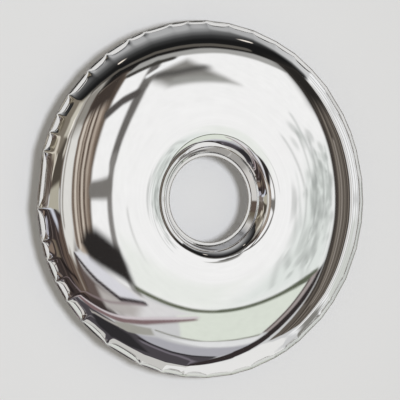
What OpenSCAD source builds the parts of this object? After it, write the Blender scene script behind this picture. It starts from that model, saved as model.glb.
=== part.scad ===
/* [Ring] */
// Outside diameter of the ring, across its rim weld
rim_d = 750; // [740:5:900]
// Diameter of the hole, inside its weld
hole_d = 180; // [160:5:200]
// Height that each half swells above the seam
swell_h = 38; // [34:1:42]
// Thickness of the steel sheet
sheet_t = 1; // [0.8:0.1:1.2]
// Width of the flat flange just inside the rim weld
flange_w = 9; // [6:1:12]

/* [Wall fixing] */
// Space between the back of the ring and the wall
wall_gap = 14; // [14:1:20]
// Height of the wall rail's centre above the ring's centre
hang_drop = 180; // [175:1:185]
// Width of the wall rail
rail_w = 140; // [130:5:160]
// Distance between the two wall screws
screw_pitch = 100; // [90:5:110]
// Width of the hook plate on the ring
hook_w = 100; // [80:5:110]
// Thickness of the rail's and hook's plate
plate_t = 2.5; // [2:0.5:3]

/* [Bumpers] */
// Angle of each bumper from straight down
bumper_angle = 35; // [20:1:45]
// Diameter of a bumper
bumper_d = 24; // [18:1:30]

/* [Hidden] */
$fn = 96;

// Coordinates: +Z is up and -Y faces the room. The wall is the plane y = 0,
// and the origin is the centre of the wall rail's back.
ring_z = -hang_drop;
crown_y = -wall_gap;
seam_y = crown_y - swell_h - sheet_t;

// Radii of the ring's profile: rim, flange, crown, then the throat's end, cone and lip at the hole
bead_t = 1.2;
rim_r = rim_d / 2 - bead_t;
flange_r = rim_r - flange_w;
crown_r = 180;
land_r = hole_d / 2 + bead_t;
lip_r = land_r + 6.2;
cone_r = lip_r + 7.4;
throat_r = lip_r + 6.1;
profile_steps = 36;
slope_step = 0.25;
round_facets = 180;

// The swell outside the crown is a gentle curve plus a steep shoulder close to the flange.
// Inside it a gentle curve and a steep throat run down to a cone, which meets the flat lip.
shoulder_h = 12.5;
outer_curve_h = swell_h - shoulder_h;
outer_curve_power = 2.1;
shoulder_power = 15;
inner_curve_h = 9.5;
inner_curve_power = 2.4;
throat_h = 15.5;
throat_power = 10.4;

// Height of a half's seam face above the seam plane at radius r
function fall(part, power) = 1 - pow(part, power);
function swell_out(r) =
    let (part = (r - crown_r) / (flange_r - crown_r))
    outer_curve_h * fall(part, outer_curve_power) + shoulder_h * fall(part, shoulder_power);
function swell_in(r) =
    let (part = (crown_r - r) / (crown_r - throat_r))
    swell_h - inner_curve_h * pow(part, inner_curve_power) - throat_h * pow(part, throat_power);
function swell_cone(r) = swell_in(cone_r) * (r - lip_r) / (cone_r - lip_r);
function swell(r) =
    r >= flange_r || r <= lip_r ? 0 :
    r >= crown_r ? swell_out(r) :
    r >= cone_r ? swell_in(r) : swell_cone(r);
function slope(r) = (swell(r + slope_step) - swell(r - slope_step)) / (2 * slope_step);

// Height of the outer skin: the sheet keeps its thickness square to its own surface
function skin(r) = swell(r) + sheet_t * norm([1, slope(r)]);

// Radii sampled closely where the profile curves most, near the flange and the lip
function eased(i) = 1 - pow(1 - i / profile_steps, 2);
profile_radii = concat(
    [land_r, lip_r],
    [for (i = [0 : profile_steps]) crown_r + (cone_r - crown_r) * eased(profile_steps - i)],
    [for (i = [1 : profile_steps]) crown_r + (flange_r - crown_r) * eased(i)],
    [rim_r]
);
last_radius = len(profile_radii) - 1;

module half_profile() {
    polygon(concat(
        [for (r = profile_radii) [r, swell(r)]],
        [for (i = [last_radius : -1 : 0]) [profile_radii[i], skin(profile_radii[i])]]
    ));
}

// Turns a shape drawn about +Z so that its +Z faces the room, centred on the ring
module on_ring(y = seam_y) {
    translate([0, y, ring_z]) rotate([90, 0, 0]) children();
}

// Turns a shape drawn about +Z so that its +Z faces the wall
module to_wall(x, y, z) {
    translate([x, y, z]) rotate([-90, 0, 0]) children();
}

// Position of the inflation boss, on the back's crown straight below the hole
boss_z = ring_z - crown_r;
boss_r = 7;
boss_h = 7.6;
boss_sink = 0.2;
port_r = 3;
plug_r = 4;
plug_depth = 6;
groove_r = [4.6, 6.2];
groove_depth = 0.9;
plug_head_h = 2.6;
plug_head_r = 6.6;
plug_chamfer = 0.6;
plug_clearance = 0.5;
hex_across = 4;
hex_depth = 4.1;

// The front half, polished to a mirror
module front_sheet() {
    color([0.86, 0.87, 0.88])
        on_ring() rotate_extrude($fn = round_facets) half_profile();
}

// The back half, with the port that the ring is blown up through
module rear_sheet() {
    color([0.80, 0.81, 0.82])
        difference() {
            on_ring() mirror([0, 0, 1]) rotate_extrude($fn = round_facets) half_profile();
            to_wall(0, seam_y + swell_h / 2, boss_z) cylinder(r = port_r, h = swell_h);
        }
}

// Bead that closes both sheets' edges. Its flat side lies on their edges.
module bead(edge_r, out, half_w) {
    steps = 8;
    rotate_extrude($fn = round_facets)
        polygon([for (i = [0 : steps])
            let (a = -90 + 180 * i / steps)
            [edge_r + out * cos(a), half_w * sin(a)]]);
}

module rim_weld() {
    color([0.62, 0.62, 0.61]) on_ring() bead(rim_r, bead_t, sheet_t);
}

module hole_weld() {
    color([0.62, 0.62, 0.61]) on_ring() bead(land_r, -bead_t, sheet_t);
}

// Boss with a tapped bore and a groove for the seal in its outer end
module inflation_boss() {
    color([0.70, 0.70, 0.69])
        to_wall(0, crown_y - boss_sink, boss_z)
            difference() {
                cylinder(r = boss_r, h = boss_h + boss_sink);
                translate([0, 0, -1]) cylinder(r = port_r, h = boss_h + 2);
                translate([0, 0, boss_h + boss_sink - plug_depth])
                    cylinder(r = plug_r, h = plug_depth + 1);
                translate([0, 0, boss_h + boss_sink - groove_depth])
                    difference() {
                        cylinder(r = groove_r[1], h = groove_depth + 1);
                        translate([0, 0, -1]) cylinder(r = groove_r[0], h = groove_depth + 3);
                    }
            }
}

// Fillet weld round the foot of the boss
module boss_weld() {
    leg = 2.4;
    color([0.60, 0.59, 0.57])
        to_wall(0, crown_y - boss_sink, boss_z)
            rotate_extrude() polygon([[boss_r, 0], [boss_r + leg, 0], [boss_r, leg + boss_sink]]);
}

// Screwed plug with a hexagon socket
module valve_plug() {
    color([0.74, 0.72, 0.66])
        to_wall(0, crown_y + boss_h, boss_z)
            difference() {
                union() {
                    translate([0, 0, plug_clearance - plug_depth])
                        cylinder(r = plug_r, h = plug_depth);
                    cylinder(r = plug_head_r, h = plug_head_h - plug_chamfer);
                    translate([0, 0, plug_head_h - plug_chamfer])
                        cylinder(r1 = plug_head_r, r2 = plug_head_r - plug_chamfer, h = plug_chamfer);
                }
                translate([0, 0, plug_head_h - hex_depth])
                    cylinder(d = hex_across / cos(30), h = hex_depth + 1, $fn = 6);
            }
}

// Seal ring, squeezed into its groove under the plug's head
module plug_seal() {
    color([0.10, 0.10, 0.10])
        to_wall(0, crown_y + boss_h - groove_depth, boss_z)
            rotate_extrude()
                translate([groove_r[0], 0]) square([groove_r[1] - groove_r[0], groove_depth]);
}

// Heights on the rail and the hook, from the rail's centre
rail_bottom = -18;
rail_step = 18;
rail_top = 30;
lip_gap = 6;
hook_bottom = -12;
hook_lip_bottom = 20;
hook_lip_gap = 2.3;
screw_z = -6;
washer_h = 1;

// Plate with its profile in the YZ plane, centred on x = 0
module formed_plate(width, outline) {
    translate([width / 2, 0, 0])
        rotate([90, 0, -90])
            linear_extrude(width) polygon(outline);
}

// Z-shaped rail: a foot on the wall, a step out, and an upright lip that the hook drops over.
// Outlines are [distance from the wall, height].
module wall_rail() {
    clear_r = 2.75;
    color([0.66, 0.67, 0.68])
        difference() {
            formed_plate(rail_w, [
                [0, rail_bottom], [plate_t, rail_bottom], [plate_t, rail_step - plate_t],
                [lip_gap + plate_t, rail_step - plate_t], [lip_gap + plate_t, rail_top],
                [lip_gap, rail_top], [lip_gap, rail_step], [0, rail_step]
            ]);
            for (side = [-1, 1])
                translate([side * screw_pitch / 2, 1, screw_z])
                    rotate([90, 0, 0]) cylinder(r = clear_r, h = plate_t + 2);
        }
}

// J-shaped plate welded to the back of the ring. Its web rests on the rail's lip.
module hook_plate() {
    front = wall_gap;
    color([0.68, 0.69, 0.70])
        formed_plate(hook_w, [
            [front - plate_t, hook_bottom], [front, hook_bottom],
            [front, rail_top + plate_t], [hook_lip_gap, rail_top + plate_t],
            [hook_lip_gap, hook_lip_bottom], [hook_lip_gap + plate_t, hook_lip_bottom],
            [hook_lip_gap + plate_t, rail_top], [front - plate_t, rail_top]
        ]);
}

// Two fillet welds along the hook plate's sides
module hook_welds() {
    leg = 2.2;
    sink = 0.5;
    bead_l = 26;
    color([0.60, 0.59, 0.57])
        for (side = [-1, 1])
            translate([side * hook_w / 2, crown_y - sink, hook_bottom + bead_l / 2 + 1])
                mirror([side < 0 ? 1 : 0, 0, 0])
                    linear_extrude(bead_l, center = true)
                        polygon([[-sink, 0], [leg, 0], [-sink, leg + sink]]);
}

// Lower corners of the ring's crown, where the bumpers sit
bumper_x = crown_r * sin(bumper_angle);
bumper_z = ring_z - crown_r * cos(bumper_angle);
stud_r = 2.5;
stud_l = 9;
stud_sink = 0.3;

// Weld stud that holds a bumper
module bumper_stud(x) {
    color([0.72, 0.72, 0.70])
        to_wall(x, crown_y - stud_sink, bumper_z) cylinder(r = stud_r, h = stud_l + stud_sink);
}

// Rubber bumper pushed on its stud. It is a little narrower at the wall.
module bumper(x) {
    foot_r = bumper_d / 2;
    tip_r = foot_r - 2;
    rounding = 1.5;
    color([0.12, 0.12, 0.12])
        to_wall(x, crown_y, bumper_z)
            difference() {
                union() {
                    cylinder(r1 = foot_r, r2 = tip_r, h = wall_gap - rounding);
                    translate([0, 0, wall_gap - rounding])
                        cylinder(r1 = tip_r, r2 = tip_r - rounding, h = rounding);
                }
                translate([0, 0, -1]) cylinder(r = stud_r, h = stud_l + 1);
            }
}

// Two wall screws: a head and a plain neck in the rail, then the threaded shank in the wall
module wall_screws() {
    neck_r = 2.2;
    neck_l = plate_t + washer_h + 0.5;
    thread_r = 2.5;
    thread_l = 41;
    point_l = 5;
    point_r = 0.4;
    head_r = 4.5;
    head_top_r = 3.3;
    head_h = 3.4;
    slot_w = 1.2;
    slot_l = 4.6;
    slot_depth = 1.8;
    color([0.76, 0.76, 0.74])
        for (side = [-1, 1])
            to_wall(side * screw_pitch / 2, -plate_t - washer_h, screw_z)
                difference() {
                    union() {
                        cylinder(r = neck_r, h = neck_l);
                        translate([0, 0, neck_l]) cylinder(r = thread_r, h = thread_l);
                        translate([0, 0, neck_l + thread_l])
                            cylinder(r1 = thread_r, r2 = point_r, h = point_l);
                        translate([0, 0, -head_h])
                            cylinder(r1 = head_top_r, r2 = head_r, h = head_h);
                    }
                    for (turn = [0, 90])
                        translate([0, 0, -head_h])
                            rotate([0, 0, turn])
                                cube([slot_w, slot_l, 2 * slot_depth], center = true);
                }
}

// Plain washers under the screws' heads
module screw_washers() {
    washer_r = 7.5;
    washer_bore_r = 2.7;
    color([0.74, 0.74, 0.73])
        for (side = [-1, 1])
            to_wall(side * screw_pitch / 2, -plate_t - washer_h, screw_z)
                difference() {
                    cylinder(r = washer_r, h = washer_h);
                    translate([0, 0, -1]) cylinder(r = washer_bore_r, h = washer_h + 2);
                }
}

front_sheet();
rear_sheet();
rim_weld();
hole_weld();
inflation_boss();
boss_weld();
valve_plug();
plug_seal();
hook_plate();
hook_welds();
bumper_stud(-bumper_x);  // bumper_stud_left
bumper_stud(bumper_x);  // bumper_stud_right
bumper(-bumper_x);  // bumper_left
bumper(bumper_x);  // bumper_right
wall_rail();
wall_screws();
screw_washers();
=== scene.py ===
"""Visual model of a round, inflated-steel wall mirror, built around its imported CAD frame.

Units are metres in the CAD frame: the wall is the plane y = 0, -Y faces the room and +Z is up.
Angles round the ring count anticlockwise from +X, seen from the room.
"""

import math

import bpy
import numpy as np
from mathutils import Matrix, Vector


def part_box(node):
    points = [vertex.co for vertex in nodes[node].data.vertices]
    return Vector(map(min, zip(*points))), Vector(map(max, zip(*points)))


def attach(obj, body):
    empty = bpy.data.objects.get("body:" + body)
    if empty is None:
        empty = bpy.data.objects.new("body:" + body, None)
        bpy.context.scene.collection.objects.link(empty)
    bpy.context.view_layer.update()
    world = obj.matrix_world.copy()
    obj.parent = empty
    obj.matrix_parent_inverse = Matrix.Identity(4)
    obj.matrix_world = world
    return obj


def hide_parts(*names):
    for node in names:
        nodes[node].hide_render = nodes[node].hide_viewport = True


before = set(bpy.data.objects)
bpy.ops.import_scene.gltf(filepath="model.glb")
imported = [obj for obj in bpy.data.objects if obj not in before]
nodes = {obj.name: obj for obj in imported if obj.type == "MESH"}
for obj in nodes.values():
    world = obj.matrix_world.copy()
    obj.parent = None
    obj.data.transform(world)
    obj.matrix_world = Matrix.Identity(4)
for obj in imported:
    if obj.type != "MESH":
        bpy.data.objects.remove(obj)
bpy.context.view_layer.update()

MM = 0.001

# ---------------------------------------------------------------- the ring's own sizes
# The profile is the CAD one. Outwards from the crown it falls gently, then steeply at a
# shoulder next to the flat flange. Inwards it falls gently, then steeply in a throat that ends
# in a straight cone down to the flat lip at the hole. The ring's place, radius and height come
# from its CAD box. The rest repeats part.scad's sizes, which a box doesn't show.
sheet_low, sheet_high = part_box("front_sheet")
SEAM_Y = sheet_high.y
RING_Z = (sheet_low.z + sheet_high.z) / 2
RIM_R = (sheet_high.x - sheet_low.x) / 2
SHEET_T = 1.0 * MM
SWELL_H = SEAM_Y - sheet_low.y - SHEET_T
FLANGE_W = 9 * MM
FLANGE_R = RIM_R - FLANGE_W
CROWN_R = 180 * MM
LAND_R = 91.2 * MM
LIP_R = 97.4 * MM
CONE_R = LIP_R + 7.4 * MM
THROAT_R = LIP_R + 6.1 * MM
SHOULDER_H = 12.5 * MM
OUTER_CURVE_POWER = 2.1
SHOULDER_POWER = 15
INNER_CURVE_H = 9.5 * MM
INNER_CURVE_POWER = 2.4
THROAT_H = 15.5 * MM
THROAT_POWER = 10.4
centre = Vector((0, SEAM_Y, RING_Z))


def swell_in(r):
    """The height inside the crown, down to the top of the cone."""
    into = np.clip((CROWN_R - r) / (CROWN_R - THROAT_R), 0, None)
    return SWELL_H - INNER_CURVE_H * into**INNER_CURVE_POWER - THROAT_H * into**THROAT_POWER


def swell(r):
    """Height of a half above the seam plane at radius r, for arrays."""
    out = np.clip((r - CROWN_R) / (FLANGE_R - CROWN_R), 0, 1)
    outer_h = SWELL_H - SHOULDER_H
    outside = outer_h * (1 - out**OUTER_CURVE_POWER) + SHOULDER_H * (1 - out**SHOULDER_POWER)
    cone = swell_in(CONE_R) * np.clip((r - LIP_R) / (CONE_R - LIP_R), 0, 1)
    inside = np.where(r >= CONE_R, swell_in(r), cone)
    return np.where(r >= CROWN_R, outside, inside)


# ---------------------------------------------------------------- rim creases
# The flange buckles into flat panels as the ring is blown up. Each number is a panel's width in
# whole degrees, anticlockwise from the first crease. Most are a scratch script's output, rounded:
# it turned crease positions picked in the photo into angles. A few gaps are filled in.
FIRST_CREASE = 7
PANEL_DEGREES = [
    10, 6, 7, 11, 8, 8, 8, 9, 9, 8, 7, 6, 9, 6, 9, 8,
    10, 7, 6, 6, 18, 10, 6, 7, 7, 8, 11, 13, 8, 8, 8, 9,
    7, 9, 5, 6, 11, 7, 9, 11, 9, 7, 8,
]
assert sum(PANEL_DEGREES) == 360


def smooth(t):
    """Eases from 0 to 1 as t does."""
    t = np.clip(t, 0, 1)
    return t * t * (3 - 2 * t)


def bump(distance, reach):
    """A smooth hill, 1 in its middle."""
    return np.exp(-((distance / reach) ** 2))


crease_angles = np.radians(FIRST_CREASE + np.cumsum([0] + PANEL_DEGREES))
PANELS = len(PANEL_DEGREES)
COLUMNS_PER_DEGREE = 1.8
LENS_POWER = 3.5
angles = []
panel_share = []
panel_index = []
for panel in range(PANELS):
    columns = int(PANEL_DEGREES[panel] * COLUMNS_PER_DEGREE)
    for column in range(columns):
        share = column / columns
        turn = crease_angles[panel + 1] - crease_angles[panel]
        angles.append(crease_angles[panel] + share * turn)
        panel_share.append(share)
        panel_index.append(panel)
angles = np.array(angles)
panel_share = np.array(panel_share)
panel_index = np.array(panel_index)

rng = np.random.default_rng(7)
crease_in = rng.uniform(-0.5, 0.7, PANELS) * MM
crease_forward = rng.uniform(-0.7, 0.7, PANELS) * MM
panel_depth = rng.uniform(0.85, 1.15, PANELS)
panel_curl = rng.uniform(0.75, 1.15, PANELS)


def between(values):
    """A value per crease, carried straight across each panel."""
    after = values[(panel_index + 1) % PANELS]
    return values[panel_index] * (1 - panel_share) + after * panel_share


half_panel = np.radians(np.array(PANEL_DEGREES))[panel_index] / 2
across_panel = panel_share * 2 - 1
chord = np.cos(half_panel) / np.cos(across_panel * half_panel)
lens = 1 - across_panel**2
blunt_lens = 1 - np.abs(across_panel) ** LENS_POWER

# The creases bite deep at the left and upper left, and are shallow elsewhere. bite is 1 at most.
UPPER_LEFT = math.radians(165)
UPPER_LEFT_REACH = math.radians(60)
BITE_ALL_ROUND = 0.12
BITE_LEFT = 0.73
BITE_LEFT_POWER = 1.5
BITE_UPPER_LEFT = 0.15


def angle_from(place):
    """Each column's angle from a place on the ring, from -pi to pi."""
    return np.angle(np.exp(1j * (angles - place)))


left = 0.5 - 0.5 * np.cos(angles)
upper_left = bump(angle_from(UPPER_LEFT), UPPER_LEFT_REACH)
bite = BITE_ALL_ROUND + BITE_LEFT * left**BITE_LEFT_POWER + BITE_UPPER_LEFT * upper_left

# The flange's outer edge runs straight from crease to crease. Its inner edge is scalloped: the
# flange is widest in the middle of a panel and narrow at a deep crease.
EDGE_ALLOWANCE = 1.0 * MM
CREASE_PULL = 0.8
WIDEST = 11.5 * MM
NARROWEST = 2.0 * MM
SHALLOW_EXTRA = 6.0 * MM
edge_r = (RIM_R + EDGE_ALLOWANCE) * chord - between(crease_in) * CREASE_PULL
flange_mid = WIDEST * (0.6 + 0.4 * bite) * panel_depth[panel_index]
flange_end = NARROWEST + SHALLOW_EXTRA * (1 - bite)
flange_w = flange_end + (flange_mid - flange_end) * blunt_lens
flange_in = edge_r - flange_w

# The outer edge curls back towards the wall, and the whole flange waves to and fro
EDGE_BEVEL = 3.2 * MM
DEEPEST_CURL = 2.3 * MM
CURL_POWER = 1.15
edge_curl = DEEPEST_CURL * blunt_lens * panel_curl[panel_index] * (0.08 + 0.92 * left**2)
seam_wave = between(crease_forward)

# How fast the scallops, and a softer dent behind each, fade out away from the flange
CREASE_POWER = 60
SOFT_CREASE_POWER = 9
SOFT_DIP = 0.5 * MM
soft_dip = SOFT_DIP * (lens - 0.6) * (0.5 + bite)

RIPPLES_R = 128 * MM
RIPPLES_REACH = 22 * MM
RIPPLE_H = 0.011 * MM
COARSE_RIPPLE = 7.5 * MM
FINE_RIPPLE = 4.6 * MM


def ripples(row):
    """Faint waves round the throat, left from forming the hole's edge."""
    turn = angles[None]
    coarse = np.sin(2 * math.pi * row / COARSE_RIPPLE + 1.2 * np.sin(turn))
    fine = 0.7 * np.sin(2 * math.pi * row / FINE_RIPPLE)
    strength = bump(row - RIPPLES_R, RIPPLES_REACH) * (0.6 + 0.4 * np.sin(3 * turn + 1))
    return RIPPLE_H * (coarse + fine) * strength


def displaced(r, side):
    """Turns base radii into grids of radius and height for one half.

    side is 1 for the front half and -1 for the rear one, whose heights are negative.
    """
    row = r[:, None]
    height = swell(row) * np.ones_like(angles)[None] + ripples(row)
    reach = np.clip((row - CROWN_R) / (FLANGE_R - CROWN_R), 0, None)
    shift_in = (flange_in - FLANGE_R)[None]
    near_rim = np.minimum(reach, 1)
    hard = near_rim**CREASE_POWER
    soft = near_rim**SOFT_CREASE_POWER * (1 - hard)
    radius_body = row + shift_in * hard - soft_dip[None] * soft
    along = np.clip((row - FLANGE_R) / FLANGE_W, 0, 1)
    radius_flange = flange_in[None] * (1 - along) + edge_r[None] * along
    radius = np.where(row > FLANGE_R, radius_flange, radius_body)
    curl_share = np.clip((radius - (edge_r[None] - EDGE_BEVEL)) / EDGE_BEVEL, 0, 1)
    curl = edge_curl[None] * curl_share**CURL_POWER
    wave = seam_wave[None] * near_rim**SOFT_CREASE_POWER
    height = height * side + (wave - curl)
    return radius, height


DENTS_PER_CREASE = 3


def crumples(radius):
    """Small dents where the creases end, deepest on the left."""
    total = np.zeros_like(radius)
    dent_rng = np.random.default_rng(11)
    for at in crease_angles[:PANELS]:
        strength = 0.35 + 0.65 * (0.5 - 0.5 * math.cos(at))
        for _ in range(DENTS_PER_CREASE):
            along = dent_rng.uniform(-4, 4) * MM
            inwards = dent_rng.uniform(1, 9) * MM
            size = dent_rng.uniform(1.6, 3.4) * MM
            depth = dent_rng.uniform(-0.5, 0.5) * MM * strength
            turn = angle_from(at)[None]
            distance = np.hypot(turn * RIM_R - along, radius - (RIM_R - inwards))
            total += depth * bump(distance, size)
    return total


ROW_CROWDING = 1.7


def outer_rows():
    """Base radii of the polished skin's rows, from the hole to the rim, closest at the folds."""
    lip = np.array([LAND_R, LAND_R + 0.6 * MM])
    lip_face = np.linspace(LAND_R + 2 * MM, LIP_R - 0.9 * MM, 5)
    lip_edge = np.array([LIP_R - 0.35 * MM, LIP_R, LIP_R + 0.35 * MM])
    throat_start = LIP_R + 0.8 * MM
    throat = throat_start + (CROWN_R - throat_start) * np.linspace(0, 1, 40) ** ROW_CROWDING
    out = np.linspace(0, 1, 62)[1:]
    shoulder_end = FLANGE_R - 0.7 * MM
    shoulder = CROWN_R + (shoulder_end - CROWN_R) * (1 - (1 - out) ** ROW_CROWDING)
    fold = np.array([FLANGE_R - 0.35 * MM, FLANGE_R + 0.3 * MM, FLANGE_R + 0.8 * MM])
    flange = np.linspace(FLANGE_R + 1.8 * MM, RIM_R, 9)
    return np.concatenate([lip, lip_face, lip_edge, throat, shoulder, fold, flange])


def slope_at(r):
    """How steeply a half's height changes with radius."""
    step = 0.1 * MM
    return (swell(r + step) - swell(r - step)) / (2 * step)


def linked(name, data):
    """A new object, in the scene."""
    obj = bpy.data.objects.new(name, data)
    bpy.context.scene.collection.objects.link(obj)
    return obj


def grid_mesh(name, points, closed):
    """A mesh of quads over a grid of points. Its columns always close, its rows do if closed."""
    rows, columns = points.shape[:2]
    index = np.arange(rows * columns).reshape(rows, columns)
    below = index if closed else index[:-1]
    above = np.roll(index, -1, 0) if closed else index[1:]
    corners = [below, np.roll(below, -1, 1), np.roll(above, -1, 1), above]
    quads = np.stack(corners, -1).reshape(-1, 4)
    mesh = bpy.data.meshes.new(name)
    mesh.vertices.add(rows * columns)
    mesh.vertices.foreach_set("co", points.ravel())
    mesh.loops.add(quads.size)
    mesh.loops.foreach_set("vertex_index", quads.ravel())
    mesh.polygons.add(len(quads))
    mesh.polygons.foreach_set("loop_start", np.arange(0, quads.size, 4))
    mesh.update(calc_edges=True)
    return mesh


def ring_mesh(name, loops_r, loops_y):
    """A closed ring from grids of radius and y: rows run round its section."""
    points = np.empty((*loops_r.shape, 3))
    points[..., 0] = loops_r * np.cos(angles)[None]
    points[..., 1] = loops_y
    points[..., 2] = RING_Z + loops_r * np.sin(angles)[None]
    mesh = grid_mesh(name, points, True)
    mesh.validate()
    mesh.polygons.foreach_set("use_smooth", np.ones(len(mesh.polygons), bool))
    return linked(name, mesh)


SHARP_ANGLE = math.radians(60)


def sheet(name, side):
    """One half as a closed shell: polished skin outside, seam face inside."""
    outer = outer_rows()
    # The inner skin needs fewer rows, and starts and ends where the outer one does
    inner = np.concatenate([[outer[-1]], outer[::-4][1:-1], [outer[0]]])
    radius_out, height_out = displaced(outer, side)
    # The slope is taken just inside the ends, where the profile is defined on both sides
    slope = slope_at(np.clip(outer, LAND_R + 0.2 * MM, RIM_R - 0.2 * MM))
    thick = SHEET_T * np.sqrt(1 + slope**2)
    height_out = height_out + side * thick[:, None] + crumples(radius_out)
    radius_in, height_in = displaced(inner, side)
    height_in = height_in + crumples(radius_in)
    loops_r = np.concatenate([radius_out, radius_in])
    loops_y = SEAM_Y - np.concatenate([height_out, height_in])
    if side < 0:
        loops_r = loops_r[::-1]
        loops_y = loops_y[::-1]
    obj = ring_mesh(name, loops_r, loops_y)
    obj.data.set_sharp_from_angle(angle=SHARP_ANGLE)
    # The flange and the lip, next to the welds, are less finely polished than the swell
    rows = np.concatenate([outer, inner])[::side]
    dull_row = smooth((rows - FLANGE_R) / MM) + smooth((LIP_R - rows) / MM)
    dull = obj.data.attributes.new("dull", "FLOAT", "POINT")
    dull.data.foreach_set("value", np.repeat(dull_row, len(angles)))
    return obj


BEAD_SIDES = 12
BEAD_OUT = 1.3 * MM
BEAD_UNEVENNESS = 0.05
BEAD_WAVES = 420


def bead(name, edge, height, half_w, inwards):
    """A weld bead along an edge: a rounded, slightly uneven section."""
    section = np.linspace(0, 2 * math.pi, BEAD_SIDES + 1)[:-1]
    uneven = 1 + BEAD_UNEVENNESS * np.sin(angles * BEAD_WAVES)[None]
    swing = np.cos(section)[:, None] * BEAD_OUT * uneven
    rise = np.sin(section)[:, None] * half_w * uneven
    loops_r = edge[None] + (-swing if inwards else swing)
    loops_y = SEAM_Y - (height[None] + rise)
    if inwards:
        loops_r = loops_r[::-1]
        loops_y = loops_y[::-1]
    return ring_mesh(name, loops_r, loops_y)


# ---------------------------------------------------------------- materials
def new_material(name):
    material = bpy.data.materials.new(name)
    material.use_nodes = True
    tree = material.node_tree
    tree.nodes.clear()
    output = tree.nodes.new("ShaderNodeOutputMaterial")
    shader = tree.nodes.new("ShaderNodeBsdfPrincipled")
    tree.links.new(shader.outputs[0], output.inputs[0])
    return material, tree, shader


def noise(tree, scale, detail, rough, stretch=None):
    """Noise over the object's own coordinates, in metres, drawn out where stretch says."""
    place = tree.nodes.new("ShaderNodeTexCoord")
    texture = tree.nodes.new("ShaderNodeTexNoise")
    texture.inputs["Scale"].default_value = scale
    texture.inputs["Detail"].default_value = detail
    texture.inputs["Roughness"].default_value = rough
    if stretch is None:
        tree.links.new(place.outputs["Object"], texture.inputs["Vector"])
    else:
        mapping = tree.nodes.new("ShaderNodeMapping")
        mapping.inputs["Scale"].default_value = stretch
        tree.links.new(place.outputs["Object"], mapping.inputs["Vector"])
        tree.links.new(mapping.outputs[0], texture.inputs["Vector"])
    return texture.outputs["Fac"]


def ramp(tree, value, low, high):
    """Spreads the middle of a noise's range from low to high."""
    node = tree.nodes.new("ShaderNodeMapRange")
    node.inputs["From Min"].default_value = 0.3
    node.inputs["From Max"].default_value = 0.7
    node.inputs["To Min"].default_value = low
    node.inputs["To Max"].default_value = high
    tree.links.new(value, node.inputs["Value"])
    return node.outputs[0]


def mixed(tree, value, colour_a, colour_b):
    node = tree.nodes.new("ShaderNodeMix")
    node.data_type = "RGBA"
    node.inputs["A"].default_value = (*colour_a, 1)
    node.inputs["B"].default_value = (*colour_b, 1)
    tree.links.new(value, node.inputs["Factor"])
    return node.outputs["Result"]


def bump_node(tree, value, strength, distance):
    node = tree.nodes.new("ShaderNodeBump")
    node.inputs["Strength"].default_value = strength
    node.inputs["Distance"].default_value = distance
    tree.links.new(value, node.inputs["Height"])
    return node.outputs[0]


def grained(name, light, dark, blotch_scale, rough, grain, bump_strength, bump_distance):
    """A material with soft blotches in its colour, and a grain in its roughness and bump.

    grain is the noise's scale, detail and roughness, and its stretch where it has one.
    """
    material, tree, shader = new_material(name)
    fine = noise(tree, *grain)
    blotch = noise(tree, blotch_scale, 3, 0.5)
    colour = mixed(tree, ramp(tree, blotch, 0, 1), dark, light)
    tree.links.new(colour, shader.inputs["Base Color"])
    tree.links.new(ramp(tree, fine, *rough), shader.inputs["Roughness"])
    tree.links.new(bump_node(tree, fine, bump_strength, bump_distance), shader.inputs["Normal"])
    return material, shader


def steel(name, light, dark, rough, scale, bump_strength, bump_distance, stretch=None):
    """Metal: polished, brushed, turned, plated or as welded."""
    grain = (scale, 5, 0.6, stretch)
    material, shader = grained(name, light, dark, 35, rough, grain, bump_strength, bump_distance)
    shader.inputs["Metallic"].default_value = 1.0
    return material


def rubber(name, light, dark):
    return grained(name, light, dark, 90, (0.62, 0.85), (1600, 4, 0.6), 0.35, 0.0002)[0]


mirror_steel = steel("mirror_steel", (0.93, 0.935, 0.94), (0.915, 0.92, 0.925), (0.015, 0.035),
                     60, 0.02, 0.0001)
back_steel = steel("back_steel", (0.86, 0.865, 0.87), (0.8, 0.8, 0.8), (0.06, 0.14),
                   90, 0.05, 0.0002)


def dulled(material, tint, rough):
    """Darkens and roughens a steel where its mesh's "dull" attribute is 1."""
    tree = material.node_tree
    shader = next(n for n in tree.nodes if n.type == "BSDF_PRINCIPLED")
    where = tree.nodes.new("ShaderNodeAttribute")
    where.attribute_name = "dull"
    for socket, value in (("Base Color", (*tint, 1)), ("Roughness", (rough, rough, rough, 1))):
        before = shader.inputs[socket].links[0].from_socket
        blend = tree.nodes.new("ShaderNodeMix")
        blend.data_type = "RGBA"
        blend.inputs["B"].default_value = value
        tree.links.new(where.outputs["Fac"], blend.inputs["Factor"])
        tree.links.new(before, blend.inputs["A"])
        tree.links.new(blend.outputs["Result"], shader.inputs[socket])


dulled(mirror_steel, (0.75, 0.75, 0.745), 0.085)
dulled(back_steel, (0.66, 0.66, 0.655), 0.16)
weld_bead = steel("weld_bead", (0.80, 0.79, 0.77), (0.58, 0.56, 0.54), (0.3, 0.5),
                  700, 0.5, 0.0003)
satin = steel("satin_brushed", (0.62, 0.62, 0.61), (0.52, 0.52, 0.52), (0.26, 0.36),
              40, 0.05, 0.0001, (1, 40, 40))
turned = steel("turned_steel", (0.70, 0.67, 0.58), (0.60, 0.57, 0.49), (0.18, 0.3),
               900, 0.08, 0.0001)
zinc = steel("zinc_plate", (0.56, 0.57, 0.58), (0.44, 0.45, 0.47), (0.3, 0.42),
             260, 0.05, 0.0001)
bumper = rubber("bumper_rubber", (0.05, 0.05, 0.05), (0.03, 0.03, 0.03))
seal = rubber("seal_rubber", (0.035, 0.035, 0.035), (0.02, 0.02, 0.02))

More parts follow.
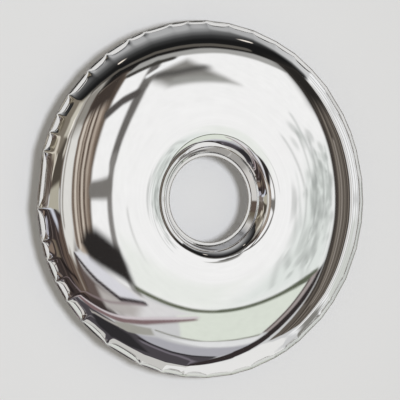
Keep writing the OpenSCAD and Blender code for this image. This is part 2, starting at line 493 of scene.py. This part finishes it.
FINISHES = {
    "inflation_boss": satin,
    "boss_weld": weld_bead,
    "valve_plug": turned,
    "plug_seal": seal,
    "hook_plate": satin,
    "hook_welds": weld_bead,
    "bumper_stud_left": zinc,
    "bumper_stud_right": zinc,
    "bumper_left": bumper,
    "bumper_right": bumper,
    "wall_rail": zinc,
    "wall_screws": zinc,
    "screw_washers": zinc,
}
for node_name, finish in FINISHES.items():
    for material_slot in nodes[node_name].material_slots:
        material_slot.material = finish

# ---------------------------------------------------------------- the ring's visible pieces
front = sheet("front_half", 1)
rear = sheet("rear_half", -1)
edge_height = seam_wave - edge_curl
rim_bead = bead("rim_weld_bead", edge_r - 0.3 * MM, edge_height, 1.7 * MM, False)
hole_edge = np.full_like(angles, LAND_R + 0.2 * MM)
hole_bead = bead("hole_weld_bead", hole_edge, np.zeros_like(angles), 1.5 * MM, True)
for piece, stands_for, finish, slot_name in (
    (front, "front_sheet", mirror_steel, "polished_steel"),
    (rear, "rear_sheet", back_steel, "polished_steel"),
    (rim_bead, "rim_weld", weld_bead, "weld_steel"),
    (hole_bead, "hole_weld", weld_bead, "weld_steel"),
):
    piece.data.materials.append(finish)
    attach(piece, "ring")
    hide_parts(stands_for)

# ---------------------------------------------------------------- the reflected studio
# A polished mirror shows what stands round it. A dome that only reflections see carries a
# simple room. Places on it are (azimuth, elevation) in degrees: azimuth 0 is straight out from
# the wall and +90 is to the mirror's right. Tones are display values from 0 to 255. Both are
# rounded and listed, read off the photo's reflections unrolled into directions.
MIRROR_KEEPS = 0.93


def linear(grey_or_colour):
    """Display values as linear light, raised by what the mirror takes away."""
    shown = np.array(grey_or_colour, float) / 255
    if shown.ndim == 0:
        shown = np.repeat(shown, 3)
    light = np.where(shown <= 0.04045, shown / 12.92, ((shown + 0.055) / 1.055) ** 2.4)
    return light / MIRROR_KEEPS


DOME_STEP = 0.4
dome_az = np.arange(-180, 180, DOME_STEP)
dome_el = np.linspace(-90, 90, int(180 / DOME_STEP) + 1)
AZ, EL = np.meshgrid(dome_az, dome_el)
paint = np.zeros((*AZ.shape, 3))
paint[...] = linear(200)


def lay(mask, colour):
    """Paints a colour over the room where the mask is 1."""
    paint[...] = paint * (1 - mask[..., None]) + linear(colour) * mask[..., None]


def card(az, el, colour, soft=1.0, strength=1.0):
    """A soft-edged rectangle."""
    middle = (az[0] + az[1]) / 2
    half = (az[1] - az[0]) / 2
    side = smooth((half - np.abs(AZ - middle)) / soft + 0.5)
    low = smooth((EL - el[0]) / soft + 0.5)
    high = smooth((el[1] - EL) / soft + 0.5)
    lay(side * low * high * strength, colour)


def blob(az, el, size, colour, strength=1.0):
    """A round, soft patch."""
    distance = np.hypot((AZ - az) / size[0], (EL - el) / size[1])
    lay(smooth(1.5 - distance) * strength, colour)


def gap_to(az, el, start, end):
    """Distance of each place from the straight line between two points."""
    run = end[0] - start[0]
    rise = end[1] - start[1]
    length_squared = max(run**2 + rise**2, 1e-9)
    along = ((az - start[0]) * run + (el - start[1]) * rise) / length_squared
    along = np.clip(along, 0, 1)
    return np.hypot(az - start[0] - along * run, el - start[1] - along * rise)


def streak(points, width, colour, soft=0.6, strength=1.0):
    """A soft line through points."""
    mask = np.zeros_like(AZ)
    for start, end in zip(points[:-1], points[1:]):
        distance = gap_to(AZ, EL, start, end)
        mask = np.maximum(mask, smooth((width / 2 - distance) / soft + 0.5))
    lay(mask * strength, colour)


def patch(points, colour, soft=1.0, strength=1.0):
    """A soft-edged shape with straight sides between its corners."""
    corners = np.array(points, float)
    near = (
        (AZ > corners[:, 0].min() - soft)
        & (AZ < corners[:, 0].max() + soft)
        & (EL > corners[:, 1].min() - soft)
        & (EL < corners[:, 1].max() + soft)
    )
    az_near = AZ[near]
    el_near = EL[near]
    inside = np.zeros(az_near.shape, bool)
    distance = np.full(az_near.shape, np.inf)
    for start, end in zip(corners, np.roll(corners, -1, 0)):
        distance = np.minimum(distance, gap_to(az_near, el_near, start, end))
        run, rise = end - start
        if rise != 0:
            crosses = (start[1] > el_near) != (end[1] > el_near)
            inside ^= crosses & (az_near < start[0] + (el_near - start[1]) * run / rise)
    mask = np.zeros_like(AZ)
    mask[near] = smooth(np.where(inside, distance, -distance) / soft + 0.5)
    lay(mask * strength, colour)


def stripes(az, el, colour, pitch, share, soft, strength):
    """Evenly spaced upright stripes, such as curtain folds."""
    at = az[0]
    while at < az[1]:
        card((at, at + pitch * share), el, colour, soft, strength)
        at += pitch


# Ceiling: pale overhead, dark towards the room, with two warm lamps
card((-180, 180), (24, 90), 26, 3)
card((-180, 180), (41, 90), 52, 8)
card((-180, 180), (50, 90), 96, 12)
card((-180, 180), (60, 90), 138, 12)
card((-180, 180), (70, 90), 170, 12)
card((74, 180), (30, 90), 170, 26)
card((78, 180), (24, 44), 200, 16)
blob(-5, 43.5, (1.8, 1.8), (250, 238, 224))
blob(50, 43.5, (3.4, 1.5), (250, 240, 228))
# Wall behind the mirror and the floor
card((-180, -97), (-90, 60), (205, 202, 198), 10)
card((-180, 180), (-90, -54), (196, 194, 190), 6)

# Room to the left: cabinets, with light and dark things on and between them
patch([(-100, 3), (-100, 37), (-62, 37), (-52, 40), (-38, 38), (-28, 35), (-17, 31), (-17, 3)],
      (122, 114, 102), 1.5)
patch([(-110, 4), (-110, 40), (-66, 38), (-52, 30), (-52, 4)], (104, 96, 83), 8)
streak([(-78, 30), (-62, 24), (-50, 14)], 3, (196, 187, 164), 4, 0.8)
streak([(-88, 36), (-70, 33), (-56, 35)], 2, (150, 142, 124), 3, 0.8)
patch([(-110, 3), (-110, 22), (-70, 20), (-48, 14), (-40, 4)], (92, 80, 72), 4)
patch([(-30, 20), (-30, 32), (-17, 31), (-17, 18)], (196, 191, 178), 7)
streak([(-56, 18), (-46, 20), (-40, 12)], 5, (214, 206, 192), 5, 0.9)
patch([(-42, 4), (-40, 15), (-18, 17), (-18, 4)], (76, 70, 62), 4)
streak([(-44, 9), (-37, 14)], 3.4, (222, 214, 200), 3, 0.8)
streak([(-20, 13), (-18, 13)], 3, (214, 208, 196), 3, 0.8)
patch([(-62, 2), (-60, 10), (-50, 9), (-42, 3)], (86, 76, 70), 3)
stripes((-98, -58), (5, 30), (52, 44, 38), 8, 0.3, 3, 0.55)
stripes((-72, -58), (0, 6), (176, 168, 160), 6, 0.3, 3, 0.5)
patch([(-52, -4), (-46, 4), (-20, 4.5), (-19, -4)], (172, 167, 152), 2)
patch([(-100, -9), (-100, 3), (-54, 3), (-50, -4)], (122, 112, 106), 3)
blob(-19, 20, (2, 5), (240, 235, 226), 0.9)
# A long dark table with things on it
patch([(-100, -60), (-100, -5), (-18, -4), (-4, -12), (12, -18), (4, -24), (-40, -40), (-60, -50)],
      (60, 52, 50), 2)
streak([(-64, -4.5), (-42, -4.5), (-30, -6.5), (-25, -8)], 3, (206, 209, 219), 2.2, 0.9)
streak([(-31, -4), (-17, -4.5)], 1, (50, 44, 42), 1)
patch([(-100, -7), (-84, -5), (-66, -7), (-72, -12), (-100, -13)], (182, 180, 190), 3)
streak([(-92, -17), (-74, -14), (-56, -12)], 2, (34, 29, 28), 2)
patch([(-100, -21), (-84, -19), (-60, -18), (-54, -23), (-70, -26), (-100, -28)], (128, 112, 100), 4)
streak([(-96, -30), (-74, -28), (-56, -25)], 1.6, (150, 142, 138), 2, 0.7)
patch([(-110, -31), (-84, -31), (-72, -38), (-68, -56), (-110, -58)], (208, 203, 199), 5)
streak([(-100, -38), (-74, -36), (-60, -37)], 2.4, (74, 66, 58), 3)
streak([(-100, -46), (-70, -44), (-50, -46)], 2.0, (196, 190, 186), 3, 0.7)
streak([(-48, -18), (-38, -20)], 5, (126, 114, 98), 5, 0.8)
streak([(-18, -26), (-14, -24)], 4, (120, 104, 92), 4, 0.7)
# Small light and dark things at the far left, above and on the table, which break up the
# reflection in the creased rim. Then slanting streaks across the table.
for at, tone in (
    (-94, 168), (-86, 60), (-80, 176), (-73, 52), (-66, 148), (-60, 58), (-54, 168), (-48, 70),
):
    streak([(at, 4), (at + 3, 12)], 1.6, (tone, tone * 0.95, tone * 0.88), 2.4, 0.75)
    streak([(at - 2, -6), (at + 6, -12)], 1.4, (tone * 0.8, tone * 0.76, tone * 0.74), 2.2, 0.6)
for at, tone in ((-62, 30), (-50, 104), (-41, 34), (-33, 112), (-26, 40)):
    streak([(at, -10), (at + 5, -22), (at + 12, -28)], 1.5, (tone, tone * 0.88, tone * 0.82), 2.6, 0.7)
# Bare wall and the left-hand curtain
patch([(-26, -8), (-16, -6), (-6, -8), (-5, -22), (-14, -27), (-24, -24)], (94, 80, 71), 5)
patch([(-16, -6), (-17, 31), (-5, 30), (-6, -8), (-10, -15), (-14, -13)], (218, 216, 211), 3)
streak([(-12, -12), (-10.5, -22)], 2, (150, 140, 130), 2.4, 0.8)
streak([(-19.5, -8), (-17, -22)], 1.2, (52, 44, 41), 1.6, 0.8)
streak([(-7.5, -12), (-6.5, -19)], 1.4, (56, 48, 45), 1.6, 0.8)
patch([(-17, 16), (-17, 31), (-4, 31), (-5, 16)], (140, 136, 129), 7)
streak([(-13.5, 31), (-13.5, -6)], 1.6, (120, 112, 104), 1.8, 0.8)
streak([(-17.5, 18), (-17, -8)], 1.8, (110, 98, 88), 1.8, 0.8)
patch([(-5.5, 25), (-6, 8), (-5.5, -9), (1, -12), (4, -8), (3.4, 5), (5, 20), (7, 26.5)],
      (172, 159, 146), 0.8)
streak([(-3.6, 25), (-4.2, 6), (-3.4, -9)], 1.3, (206, 196, 184), 0.8)
streak([(5.6, 25), (3.4, 12), (2.6, 2), (3, -8)], 2.6, (104, 92, 81), 1.2)
streak([(-5, 25), (-5.4, 8), (-4.4, -9)], 1.4, (112, 99, 88), 0.7)
streak([(-2.2, 24), (-3.2, 5), (-2.4, -8)], 0.5, (100, 86, 76), 0.5)
streak([(-0.8, 24), (-2.0, 5), (-1.2, -8)], 0.8, (80, 66, 57), 0.5)
streak([(0.3, 24), (-1.0, 5), (-0.3, -8)], 0.5, (206, 196, 184), 0.5)
streak([(1.2, 24), (-0.1, 5), (0.6, -6)], 0.8, (80, 66, 57), 0.5)
streak([(3.4, 24), (1.8, 8), (1.9, -5)], 0.5, (132, 116, 104), 0.5)
patch([(-6, 17), (-6, 25), (6, 28), (4.6, 18)], (64, 56, 51), 4)

# Window: head, glass, mullion and bars, then the grey shapes and pale ground seen through it
streak([(-14, 31.5), (0, 31.5), (20, 32.4), (38, 31)], 2.4, (90, 86, 80), 1.2)
streak([(-5, 25.4), (8, 29), (25, 30), (47, 28.2)], 1.0, (30, 28, 26), 0.8)
patch([(6, 25), (9, 28.4), (25, 29.4), (46, 27.6), (46, 21), (10, 21)], (160, 159, 156), 1.2)
patch([(3.4, -13), (3, 5), (4.8, 18), (6.3, 23.4), (20, 26.5), (30, 26.5), (45.5, 23.6), (47.6, 10),
       (48, -2), (46, -14)], (240, 239, 238), 1.2)
streak([(14, 25.4), (12, 17), (10.6, 5)], 2.5, (104, 101, 98), 1.0)
streak([(10.6, 5), (11, -8), (12.6, -14)], 2.0, (130, 127, 124), 1.0)
streak([(4.4, 15.0), (8, 16.6), (11, 17)], 2.4, (82, 78, 76), 1.0)
streak([(3.6, 1.4), (10, 1.4)], 2.9, (118, 115, 111), 1.0)
streak([(7, 24.2), (12, 25.2), (18, 26)], 1.6, (62, 60, 56), 0.8)
streak([(17.6, -1), (18.8, -5)], 0.7, (206, 206, 204), 0.7)
patch([(13, 20.5), (21, 24.6), (28.6, 14.8), (18, 15.6)], (134, 132, 128), 2.8)
streak([(15, 20.6), (19, 20), (24, 20.6)], 2.2, (74, 72, 70), 2.4, 0.85)
streak([(19, 17), (26, 16)], 2, (160, 160, 156), 2.0, 0.7)
streak([(12.6, 21.4), (20, 25.8)], 1.1, 241, 0.8)
patch([(25, -12), (29, -5), (36, 3), (47, 8), (46.6, -12)], (221, 225, 221), 6)
patch([(12.6, -12), (13, -4), (26, -4), (26, -12)], (230, 232, 227), 4)
# Leaves and twigs outside the window's right half
LEAVES = 150
TWIGS = 34
leaf_rng = np.random.default_rng(5)
for _ in range(LEAVES):
    leaf_az = leaf_rng.normal(41, 4.2)
    leaf_el = leaf_rng.normal(-0.5, 5.0)
    size = leaf_rng.uniform(0.4, 1.5)
    tone = leaf_rng.uniform(140, 206)
    if leaf_az < 47 and -11 < leaf_el < 9:
        blob(leaf_az, leaf_el, (size, size * 0.7), (tone, tone + 4, tone), 0.42)
for _ in range(TWIGS):
    twig_az = leaf_rng.uniform(31, 46)
    twig_el = leaf_rng.uniform(-11, 6)
    twig_end = (twig_az + leaf_rng.uniform(-2.5, 1.5), twig_el + leaf_rng.uniform(2, 6))
    tone = leaf_rng.uniform(146, 232)
    width = leaf_rng.uniform(0.3, 1.1)
    streak([(twig_az, twig_el), twig_end], width, (tone, tone + 3, tone), 0.8, 0.5)
# The sill, and the pale panel and band below it
streak([(13, -12.4), (22, -13.2), (32, -13.2), (45, -11.4)], 1.3, (96, 100, 84), 0.9)
streak([(26, -13.2), (36, -12.8), (45, -11.4)], 1.7, (92, 97, 82), 0.8)
patch([(19, -14), (43.5, -12.6), (37, -24), (26, -25), (19.6, -24)], (216, 221, 210), 0.8)
streak([(14, -23.6), (25, -25), (37, -23.8)], 0.5, (126, 126, 116), 0.5)
patch([(16, -25.4), (38, -24.4), (36, -28), (26, -27.6)], (222, 222, 222), 0.8)

# Floor beyond the table
patch([(4, -30), (14, -26.6), (26, -28), (38, -27), (31, -36), (8, -33)], (168, 167, 173), 2)
patch([(-66, -52), (-46, -43.5), (-20, -34.6), (-4, -29.6), (6, -28), (12, -33), (31, -36), (32, -62),
       (-66, -62)], (72, 68, 72), 1.6)
streak([(-58, -50), (-40, -49), (-22, -46)], 2.4, (132, 128, 130), 2.4, 0.8)
patch([(-44, -56), (-24, -40), (-4, -31.6), (4, -33), (6, -50), (-10, -58)], (46, 44, 46), 4)
streak([(8, -34.6), (20, -37.5), (27, -44), (29, -54)], 2.0, (118, 112, 120), 2.4)
streak([(8, -32), (20, -34.4), (30, -35.6)], 1.4, (36, 34, 36), 1.2)
# The table's near corner, its edge, and a sheet of paper on it
patch([(-8, -11), (0, -10), (13, -14), (22.5, -14.4), (12, -20.5), (4, -23), (-2, -20)], (214, 212, 212), 1)
patch([(-8, -13), (8, -18), (6, -22), (-6, -22)], (96, 84, 80), 3)
patch([(-7.5, -11.2), (0, -10.4), (13.4, -15), (8, -17)], (212, 211, 216), 0.8)
patch([(0, -17), (12, -17.4), (10, -21.5), (0, -23)], (178, 173, 170), 3)
streak([(-8, -11.8), (7, -17.4), (13.4, -15.6)], 1.1, (58, 52, 54), 0.7)
patch([(-60, -45), (-20, -32.5), (0, -25.6), (11, -21.2), (22.5, -15.8), (22.5, -16.8), (12, -22.6),
       (3, -26.4), (-5, -29.4), (-20, -35.4)], (124, 103, 104), 1)
streak([(-56, -24), (-36, -23.4), (-16, -21)], 1.6, (28, 24, 24), 1.6, 0.9)
streak([(-60, -37), (-36, -33), (-12, -27)], 1.4, (34, 29, 30), 1.6, 0.9)
streak([(-60, -44), (-20, -32.2), (0, -25.2), (11, -21), (22.5, -15.6)], 0.8, (204, 195, 198), 0.6)
streak([(-60, -31), (-30, -28), (-10, -24), (4, -19.5), (13, -16.2)], 0.7, (140, 126, 128), 0.8, 0.8)
streak([(-26, -40), (-10, -34), (0, -30)], 1.4, (190, 184, 178), 1.4, 0.8)
patch([(0, -28), (6, -25), (13, -23.4), (13.4, -26), (4, -31), (0, -31)], (158, 156, 149), 0.9)
# A dark rounded chair back, and a dark strap of curtain at the right
patch([(-2.4, -8), (0, -5.4), (4, -4.6), (12, -6), (12.8, -8), (12.6, -12), (4, -11.4), (0, -10.6)],
      (44, 41, 40), 2.2)
patch([(43.4, -12), (46, -11), (43.6, -17), (40, -24), (37.6, -23), (41, -17)], (160, 150, 148), 0.8)
streak([(43.4, -12.4), (41, -17.6), (38, -23)], 0.7, (84, 74, 72), 0.7)
patch([(46, -11), (47.6, -10), (46, -17), (42, -26), (39.6, -34), (37, -46), (36, -60), (31, -60), (30, -46),
       (31, -38), (34, -31), (38, -26), (43.2, -17)], (50, 44, 44), 0.9)

# Right-hand curtain and the white wall beyond it
patch([(45.6, 28), (61, 30), (62.4, 10), (62.4, -10), (60, -29), (44, -29), (48, -10), (48.4, 0), (48, 10)],
      (94, 87, 80), 1)
stripes((49, 61), (-29, 28), (60, 54, 50), 2.7, 0.42, 0.8, 0.85)
stripes((50.6, 61), (-29, 28), (138, 130, 120), 3.9, 0.2, 0.8, 0.8)
streak([(52.4, 10), (52.4, -20)], 0.8, (150, 142, 134), 0.8)
streak([(46.6, 27), (48.6, 12), (48.8, -4), (47.4, -18)], 0.9, (58, 53, 49), 0.7)
streak([(60.6, 27), (61.4, 5), (60.4, -28)], 1.0, (66, 60, 56), 1.2)
patch([(45, 30), (47, 16), (61, 18), (62, 32)], (40, 38, 36), 7)
patch([(62, -33), (62.6, 27), (76, 31), (180, 33), (180, -38), (76, -36)], 238, 2.5)
streak([(64.6, 26), (65.4, 0), (64, -30)], 3, (178, 173, 166), 3, 0.8)
streak([(70, 27), (71.5, 0), (70, -30)], 1.6, (96, 90, 84), 1.6, 0.9)
streak([(83, 29), (85, 0), (83, -32)], 4, (170, 168, 164), 3, 0.9)
streak([(98, 30), (100, 0), (98, -34)], 2.4, (70, 68, 66), 2, 0.9)
streak([(106, 30), (108, 0), (106, -34)], 2.0, (150, 148, 144), 2, 0.9)
streak([(118, 30), (120, 0), (118, -36)], 6, (170, 168, 165), 5, 0.8)
patch([(72, -5), (84, -4), (140, -6), (140, -26), (80, -24), (72, -18)], (196, 199, 192), 6, 0.8)
streak([(74, 0), (130, 0)], 2.4, (196, 196, 195), 2.4, 0.8)
patch([(70, -26), (100, -28), (150, -30), (150, -38), (100, -36), (70, -33)], (112, 110, 104), 4, 0.9)
streak([(76, 20), (110, 23), (150, 25)], 3, (206, 206, 205), 4, 0.8)
streak([(90, -8), (140, -8)], 5, (214, 214, 213), 5, 0.8)
patch([(42.6, -30), (62, -34), (90, -42), (180, -44), (180, -90), (36, -90), (38, -48), (40.4, -34)],
      (228, 227, 225), 1.2)

# Only the mirror's back sees these: the floor, the ceiling and some tall dark screens behind it
for side_az in ((124, 180), (-180, -118)):
    card(side_az, (-90, -14), (158, 155, 151), 14)
    card(side_az, (38, 90), (150, 150, 152), 18)
card((128, 141), (-40, 60), (92, 90, 90), 7)
card((160, 170), (-46, 60), (112, 110, 110), 6)
card((-172, -158), (-46, 60), (104, 102, 102), 7)
card((-140, -126), (-40, 60), (100, 98, 98), 7)

# Fine unevenness, so that no surface is one flat tone. Each pass blends neighbours, and the
# divisor keeps up the contrast that blending would lose.
UNEVENNESS = 0.01
BLEND_PASSES = 3
BLEND_DIVISOR = 2.2
unevenness = np.random.default_rng(3).normal(0, 1, paint.shape[:2])
for _ in range(BLEND_PASSES):
    neighbours = np.roll(unevenness, 1, 0) + np.roll(unevenness, 1, 1)
    unevenness = (unevenness + neighbours) / BLEND_DIVISOR
paint *= 1 + UNEVENNESS * unevenness[..., None]

DOME_R = 60.0
az_grid = np.radians(AZ)
el_grid = np.radians(EL)
dome_points = np.stack(
    [
        DOME_R * np.sin(az_grid) * np.cos(el_grid),
        -DOME_R * np.cos(az_grid) * np.cos(el_grid),
        DOME_R * np.sin(el_grid),
    ],
    -1,
)
dome_mesh = grid_mesh("reflection_dome", dome_points, False)
dome_paint = dome_mesh.color_attributes.new("room", "FLOAT_COLOR", "POINT")
opaque = np.ones((*AZ.shape, 1))
dome_paint.data.foreach_set("color", np.concatenate([paint, opaque], -1).ravel())
dome = linked("reflection_dome", dome_mesh)
dome.location = centre
dome_material = bpy.data.materials.new("reflection_dome")
dome_material.use_nodes = True
dome_tree = dome_material.node_tree
dome_tree.nodes.clear()
dome_output = dome_tree.nodes.new("ShaderNodeOutputMaterial")
dome_glow = dome_tree.nodes.new("ShaderNodeEmission")
dome_colour = dome_tree.nodes.new("ShaderNodeVertexColor")
dome_colour.layer_name = "room"
dome_tree.links.new(dome_colour.outputs["Color"], dome_glow.inputs["Color"])
dome_tree.links.new(dome_glow.outputs[0], dome_output.inputs[0])
# The dome's light is too large and weak to be worth aiming rays at
dome_material.cycles.emission_sampling = "NONE"
dome_mesh.materials.append(dome_material)
dome.visible_camera = False
dome.visible_diffuse = False
dome.visible_shadow = False
dome.visible_transmission = False
dome.visible_volume_scatter = False


# ---------------------------------------------------------------- wall, floor, light and camera
def plane(name, corners):
    mesh = bpy.data.meshes.new(name)
    mesh.from_pydata(corners, [], [(0, 1, 2, 3)])
    return linked(name, mesh)


ROOM = 7.0
FLOOR_DROP = 1.5
FLOOR_Z = RING_Z - FLOOR_DROP
wall = plane("wall", [(-ROOM, 0, FLOOR_Z), (ROOM, 0, FLOOR_Z), (ROOM, 0, ROOM), (-ROOM, 0, ROOM)])
floor = plane(
    "floor",
    [(-ROOM, -ROOM, FLOOR_Z), (ROOM, -ROOM, FLOOR_Z), (ROOM, ROOM, FLOOR_Z), (-ROOM, ROOM, FLOOR_Z)],
)
wall_material, wall_tree, wall_shader = new_material("wall_paint")
wall_shader.inputs["Base Color"].default_value = (0.83, 0.83, 0.832, 1)
wall_shader.inputs["Roughness"].default_value = 0.9
wall_shader.inputs["Specular IOR Level"].default_value = 0.1
# The wall is only there from the room's side, so the back of the mirror can be looked at
facing = wall_tree.nodes.new("ShaderNodeNewGeometry")
clear = wall_tree.nodes.new("ShaderNodeBsdfTransparent")
choose = wall_tree.nodes.new("ShaderNodeMixShader")
wall_tree.links.new(facing.outputs["Backfacing"], choose.inputs[0])
wall_tree.links.new(wall_shader.outputs[0], choose.inputs[1])
wall_tree.links.new(clear.outputs[0], choose.inputs[2])
wall_out = next(n for n in wall_tree.nodes if n.type == "OUTPUT_MATERIAL")
wall_tree.links.new(choose.outputs[0], wall_out.inputs[0])
wall.data.materials.append(wall_material)
floor_material, _, floor_shader = new_material("floor_paint")
floor_shader.inputs["Base Color"].default_value = (0.78, 0.775, 0.765, 1)
floor_shader.inputs["Roughness"].default_value = 0.9
# The floor glows a little, for the camera only, so that it isn't near black in the back views
floor_shader.inputs["Emission Color"].default_value = (0.95, 0.97, 1.0, 1)
floor_shader.inputs["Emission Strength"].default_value = 0.34
floor.data.materials.append(floor_material)
floor.visible_diffuse = False
for surface in (wall, floor):
    surface.visible_glossy = False
    surface.visible_shadow = False


def area_light(name, location, size, power, colour):
    """A round lamp aimed at the ring's centre, which the mirror doesn't show."""
    data = bpy.data.lights.new(name, "AREA")
    data.shape = "DISK"
    data.size = size
    data.energy = power
    data.color = colour
    lamp = linked(name, data)
    lamp.location = location
    lamp.rotation_euler = (centre - Vector(location)).to_track_quat("-Z", "Y").to_euler()
    lamp.visible_glossy = False


area_light("key_light", (-0.1, -4.0, -0.1), 1.1, 94, (0.882, 0.912, 0.975))
area_light("rear_fill", (-1.5, 3.0, 1.2), 2.4, 42, (1.0, 1.0, 1.0))

world = bpy.data.worlds.new("studio")
world.use_nodes = True
world_tree = world.node_tree
pale = world_tree.nodes["Background"]
pale.inputs["Color"].default_value = (0.80, 0.80, 0.80, 1)
pale.inputs["Strength"].default_value = 0.8
# Less and warmer light comes from all round than the camera sees, so that shadows have depth
ambient = world_tree.nodes.new("ShaderNodeBackground")
ambient.inputs["Color"].default_value = (0.83, 0.785, 0.68, 1)
ambient.inputs["Strength"].default_value = 0.45
rays = world_tree.nodes.new("ShaderNodeLightPath")
seen = world_tree.nodes.new("ShaderNodeMixShader")
world_tree.links.new(rays.outputs["Is Camera Ray"], seen.inputs[0])
world_tree.links.new(ambient.outputs[0], seen.inputs[1])
world_tree.links.new(pale.outputs[0], seen.inputs[2])
world_tree.links.new(seen.outputs[0], world_tree.nodes["World Output"].inputs["Surface"])
bpy.context.scene.world = world

# The photo's viewpoint: left of straight on, level with the ring's centre
VIEW_AZ = math.radians(-24.3)
VIEW_DISTANCE = 2.58
AIM_LEFT = 19.3 * MM
AIM_BELOW = 1.7 * MM
camera_data = bpy.data.cameras.new("camera")
camera = linked("camera", camera_data)
bpy.context.scene.camera = camera
camera.location = centre + VIEW_DISTANCE * Vector((math.sin(VIEW_AZ), -math.cos(VIEW_AZ), 0))
view_right = Vector((math.cos(VIEW_AZ), math.sin(VIEW_AZ), 0))
target = centre - view_right * AIM_LEFT - Vector((0, 0, AIM_BELOW))
camera.rotation_euler = (target - camera.location).to_track_quat("-Z", "Y").to_euler()
camera_data.lens = 110.5
camera_data.sensor_width = 36

bpy.context.scene.view_settings.view_transform = "Standard"
